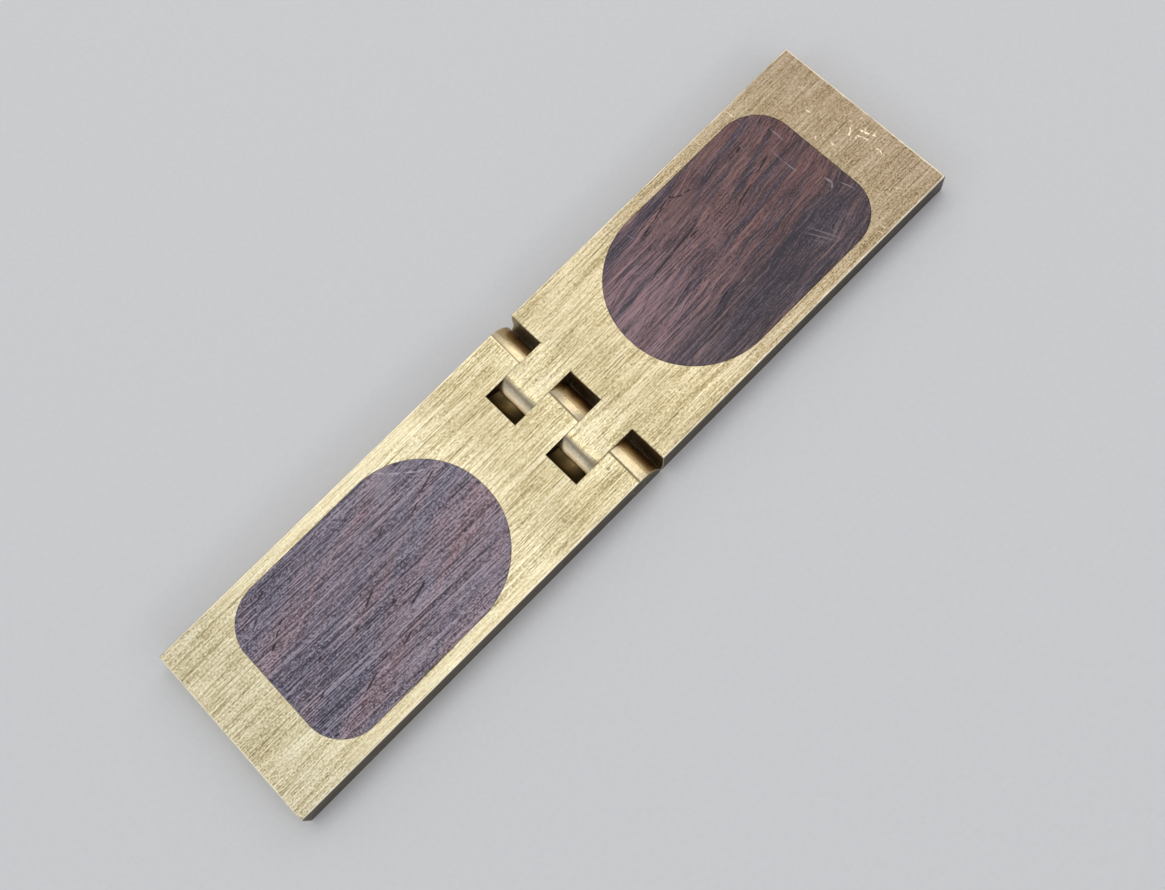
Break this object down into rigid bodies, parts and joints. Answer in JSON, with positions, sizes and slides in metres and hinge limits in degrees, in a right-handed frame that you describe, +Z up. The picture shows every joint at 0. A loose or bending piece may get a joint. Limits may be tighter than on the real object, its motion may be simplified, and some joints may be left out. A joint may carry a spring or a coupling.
{
  "type": "saddle square",
  "caption": "Hinged brass saddle square with rosewood inlays, lying open flat; the second leaf folds down over the corner of a board to carry a layout line round it.",
  "frame": {"origin": "middle of the open tool's box, on the surface that it lies on", "axes": "+X along the tool from the leaf that carries the pin to the folding leaf, +Y across it along the hinge pin, +Z up out of the upper face"},
  "size_m": [0.1818, 0.0444, 0.0063],
  "materials": {
    "leaf_brass": "brushed along the length, with patina and bright worn edges",
    "pin_brass": "turned, ends dressed flush",
    "rosewood_a": "oiled, lightly scratched",
    "rosewood_b": "oiled, dark striped grain"
  },
  "bodies": {
    "fixed_leaf": {"leaf_a": "leaf_brass", "hinge_pin": "pin_brass", "inlay_a_top": "rosewood_a", "inlay_a_bottom": "rosewood_a"},
    "folding_leaf": {"leaf_b": "leaf_brass", "inlay_b_top": "rosewood_b", "inlay_b_bottom": "rosewood_b"}
  },
  "joints": [
    {"name": "fold", "type": "hinge", "parent": "fixed_leaf", "child": "folding_leaf", "pos_m": [0.00095, 0, 0.00317], "axis": [0, 1, 0], "range_deg": [0, 100]}
  ]
}
